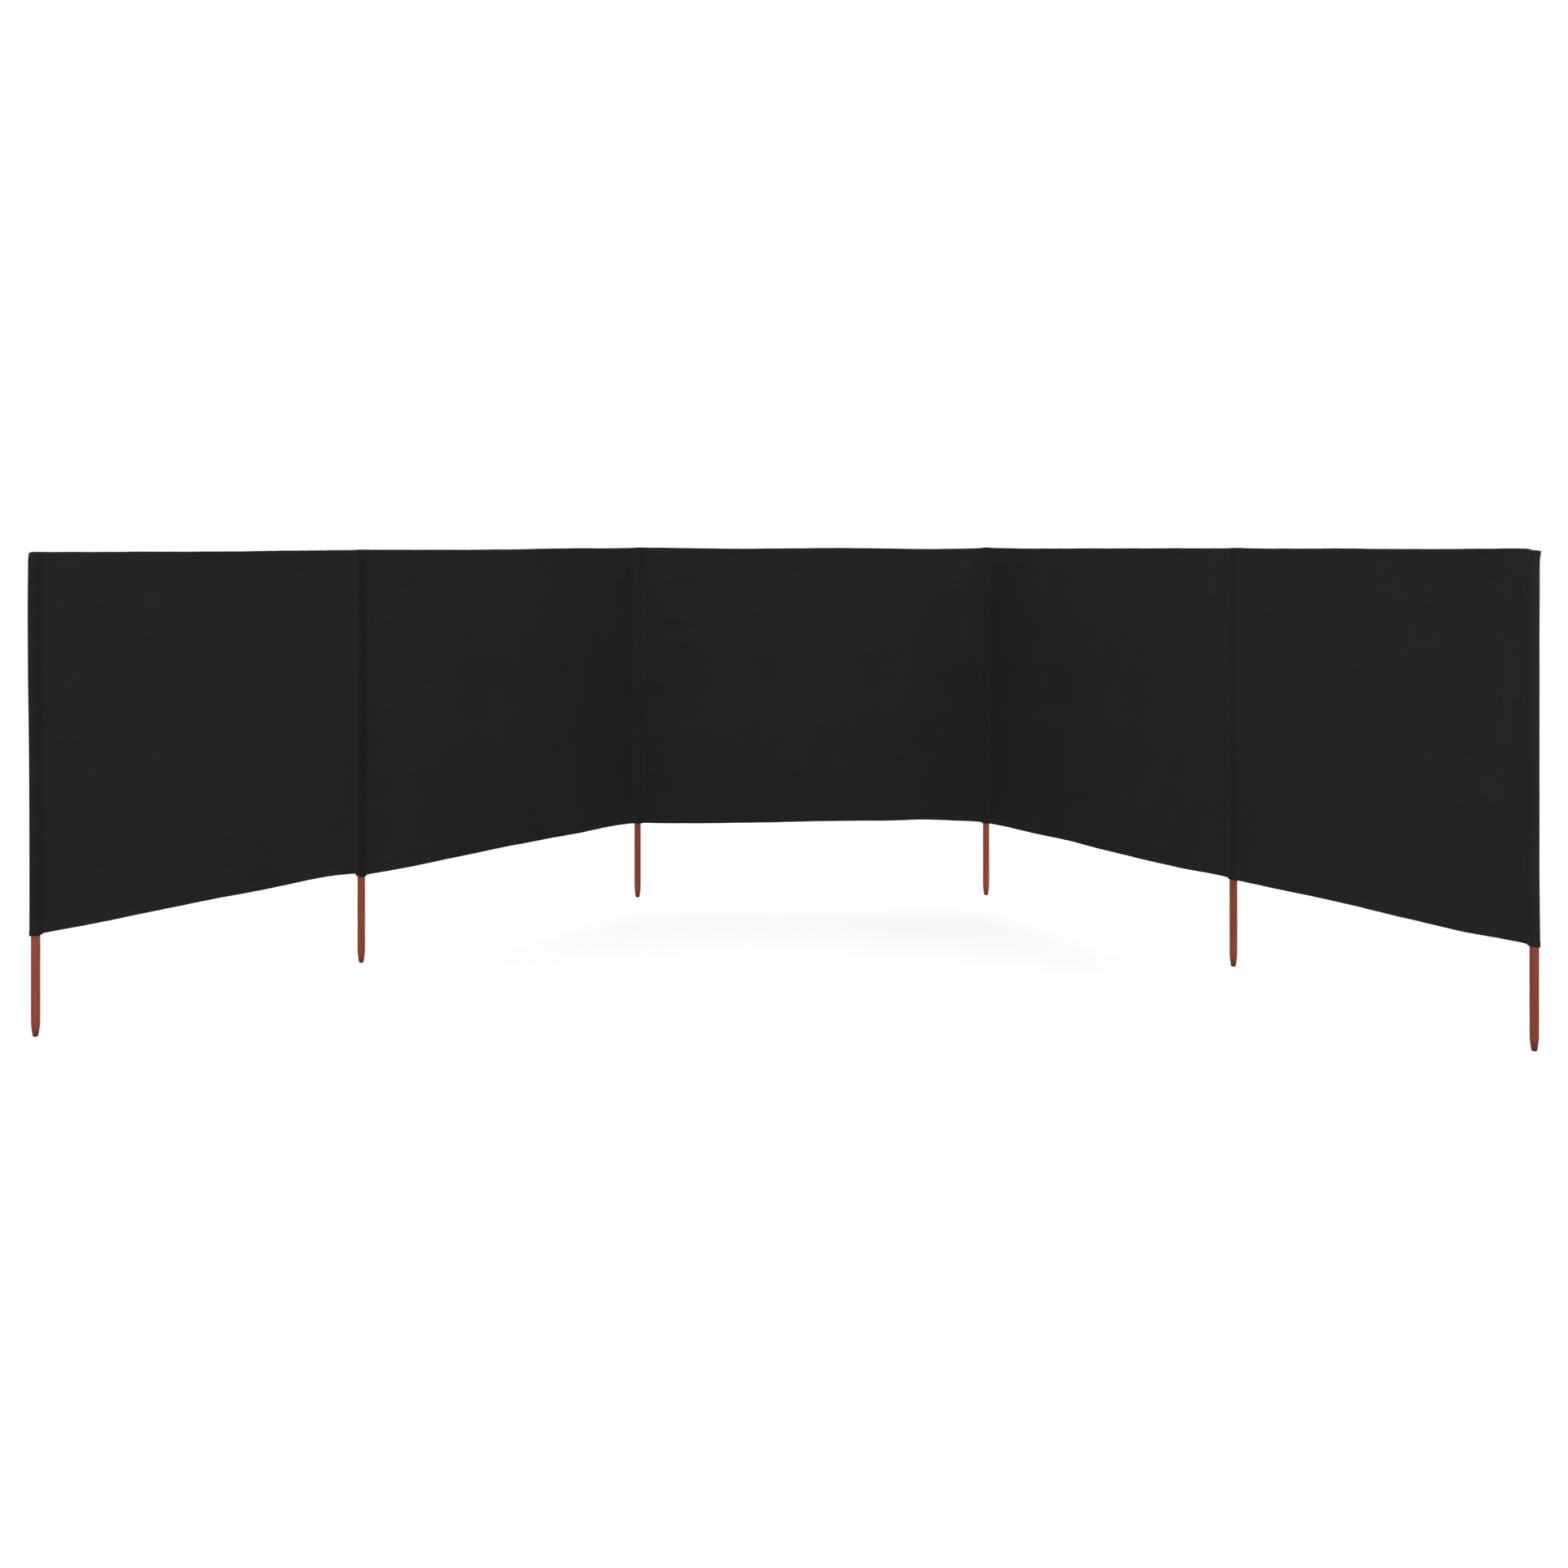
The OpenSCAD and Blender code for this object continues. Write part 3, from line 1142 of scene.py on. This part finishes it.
def seam_stitches(number, hand, side, from_seam):
    """A row up a sleeve's flange, at a distance from its seam."""
    samples, above_foot, below_ridge = 240, 0.004, 0.003
    bay = bay_beside(number, hand)
    distance = SEAM + from_seam
    low, high = foot(number, hand * distance), ridge(number, hand * distance)
    z = np.linspace(low + above_foot, high - below_ridge, samples)
    x = np.full_like(z, bay.x_from(hand, distance))
    y = cloth_y(bay, x, z) + side * (ply_depth(bay, side, x, z) + 2 * CLOTH_T)
    seed = 1000 * number + 10 * hand + side + int(from_seam * 1e5)
    return stitch_row(bay.place(x, y, z), facing(bay, side, samples), seed)


def make_stitching(bay):
    """All the thread that shows on a bay: its hems and the flanges of its two sleeves."""
    rows = []
    for side in (SHELTERED, WINDWARD):
        rows += [hem_stitches(bay, where, side) for where in ("top", "bottom")]
        for number, hand in ((bay.number, RIGHT), (bay.number + 1, LEFT)):
            rows += [seam_stitches(number, hand, side, from_seam) for from_seam in SEAM_ROWS]
    points, faces, weave = join_parts(rows)
    piece = new_piece(f"stitching_{bay.number}", points, faces, THREAD, weave)
    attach(piece, bay.body)
    return piece


def make_cuff_stitching(number):
    """The row round a sleeve's cuff."""
    level = (CUFF - CUFF_ROW, 0.0)
    rows = []
    for k, (path, _, q, _, turn) in enumerate(sleeve_walls(number, level)):
        normal = plan_normals(path, turn)
        line = lifted(POLE_AT[number] + path + normal * CLOTH_T, level_height(number, q, level))
        rows.append(stitch_row(line[2:-2], lifted(normal, 0)[2:-2], 53 * number + k))
    points, faces, weave = join_parts(rows)
    piece = new_piece(f"cuff_stitching_{number}", points, faces, THREAD, weave)
    follow_sleeve(piece, number)
    return piece


# ---- studio

# Where the photograph was taken from, level, and its turn to the left in degrees
CAMERA_AT = (0.3065, -6.2561, 1.2406)
CAMERA_TURN = -1.794
# Its sensor and lens in mm, and the lens's shift down as a share of the picture
SENSOR = 36
LENS = 41.79503
LENS_SHIFT = -0.158592

FLOOR_SIZE = 80.0
# Just below the tips
FLOOR_Z = -0.0004
FLOOR_TONE = 0.55
# What the floor adds to its own colour where it is seen, so that it shows white
FLOOR_GLOW = 0.50
# Distances from the middle of the floor between which it turns plain white
FLOOR_NEAR, FLOOR_FAR = 3.6, 7.5
WORLD_LIGHT = 0.94
# Lamps: (place from the object's middle in plan and from the floor, size, power in watts)
LAMPS = {
    "key": ((-5.2, -4.6, 4.5), 3.5, 135),
    "fill": ((4.6, -4.6, 4.0), 3.5, 95),
    "front": ((0.5, -7.0, 4.5), 3.5, 110),
    "back": ((1.0, 6.5, 5.0), 4.0, 120),
}
CENTRE = (CAD_LOW + CAD_HIGH) / 2


def make_camera():
    """The photographer's camera."""
    data = bpy.data.cameras.new("camera")
    data.sensor_width = SENSOR
    data.lens = LENS
    data.shift_y = LENS_SHIFT
    camera = add_object("camera", data)
    camera.location = CAMERA_AT
    camera.rotation_euler = (math.pi / 2, 0, math.radians(CAMERA_TURN))
    bpy.context.scene.camera = camera


def seen_directly(n):
    """1 for what the camera, gloss and glass see, and 0 for what lights the object."""
    rays = n.add("ShaderNodeLightPath").outputs
    seen = n.calculate("MAXIMUM", rays["Is Camera Ray"], rays["Is Glossy Ray"])
    return n.calculate("MAXIMUM", seen, rays["Is Transmission Ray"])


def floor_material():
    """Pale and matt, white where it is seen, and plain white far out."""
    n = Nodes(bpy.data.materials.new("floor"))
    n.tree.nodes.clear()
    seen = seen_directly(n)
    matt = n.add("ShaderNodeBsdfDiffuse", Color=grey(FLOOR_TONE)).outputs[0]
    glow = n.add("ShaderNodeEmission", Strength=n.times(seen, FLOOR_GLOW)).outputs[0]
    near = n.add("ShaderNodeAddShader", i0=matt, i1=glow).outputs[0]
    white = n.add("ShaderNodeEmission").outputs[0]
    place = n.add("ShaderNodeTexCoord").outputs["Object"]
    away = n.add("ShaderNodeVectorMath", {"operation": "LENGTH"}, i0=place).outputs["Value"]
    far = n.span(away, FLOOR_NEAR, FLOOR_FAR)
    far.node.interpolation_type = "SMOOTHSTEP"
    mixed = n.add("ShaderNodeMixShader", i0=n.times(seen, far), i1=near, i2=white).outputs[0]
    n.add("ShaderNodeOutputMaterial", Surface=mixed)
    return n.owner


def make_floor():
    """A pale floor that shows white, and keeps the object's soft shadow."""
    half = FLOOR_SIZE / 2
    mesh = bpy.data.meshes.new("floor")
    corners = [(-half, -half, 0), (half, -half, 0), (half, half, 0), (-half, half, 0)]
    mesh.from_pydata(corners, [], [(0, 1, 2, 3)])
    mesh.materials.append(floor_material())
    floor = add_object("floor", mesh)
    floor.location = (CENTRE.x, CENTRE.y, FLOOR_Z)


def make_world():
    """Even studio light from all round, in front of a white background."""
    n = Nodes(bpy.data.worlds.new("studio"))
    n.tree.nodes.clear()
    lit = n.add("ShaderNodeBackground", Color=grey(1.0), Strength=WORLD_LIGHT).outputs[0]
    white = n.add("ShaderNodeBackground", Color=grey(1.0)).outputs[0]
    mixed = n.add("ShaderNodeMixShader", i0=seen_directly(n), i1=lit, i2=white).outputs[0]
    n.add("ShaderNodeOutputWorld", Surface=mixed)
    bpy.context.scene.world = n.owner


def make_lamp(name, offset, size, power):
    """A soft square lamp that faces the middle of the object and isn't seen itself."""
    data = bpy.data.lights.new(name, "AREA")
    data.shape = "SQUARE"
    data.size = size
    data.energy = power
    lamp = add_object(name, data)
    lamp.location = Vector((CENTRE.x, CENTRE.y, 0)) + Vector(offset)
    lamp.rotation_euler = (CENTRE - lamp.location).to_track_quat("-Z", "Y").to_euler()
    lamp.visible_camera = False


def make_studio():
    """Camera, floor, background and lamps."""
    make_camera()
    make_world()
    make_floor()
    for name, (offset, size, power) in LAMPS.items():
        make_lamp(name, offset, size, power)
    bpy.context.scene.view_settings.view_transform = "Standard"


# ---- the whole object

def sleeve_width(number):
    """Flat width of the cloth of a sleeve, with its turned-under edges."""
    middle_level = (0.0, 0.5)
    shells = sleeve_walls(number, middle_level)
    turned_under = 2 * FLANGE * len(shells)
    return sum(float(np.abs(np.diff(shell[0])).sum()) for shell in shells) + turned_under


def build():
    """Makes every piece, and ties most of them to the body that they move with."""
    make_studio()
    poles = {n: make_pole(n) for n in POLE_NUMBERS}
    panels = {n: make_panel(BAYS[n]) for n in BAY_NUMBERS}
    hems = {n: [make_hem(BAYS[n], where) for where in ("top", "bottom")] for n in BAY_NUMBERS}
    sleeves = {n: make_sleeve(n) for n in POLE_NUMBERS}
    stitching = {n: make_stitching(BAYS[n]) for n in BAY_NUMBERS}
    cuffs = {n: make_cuff_stitching(n) for n in POLE_NUMBERS}
    for n in POLE_NUMBERS:
        sleeve_width(n)


build()
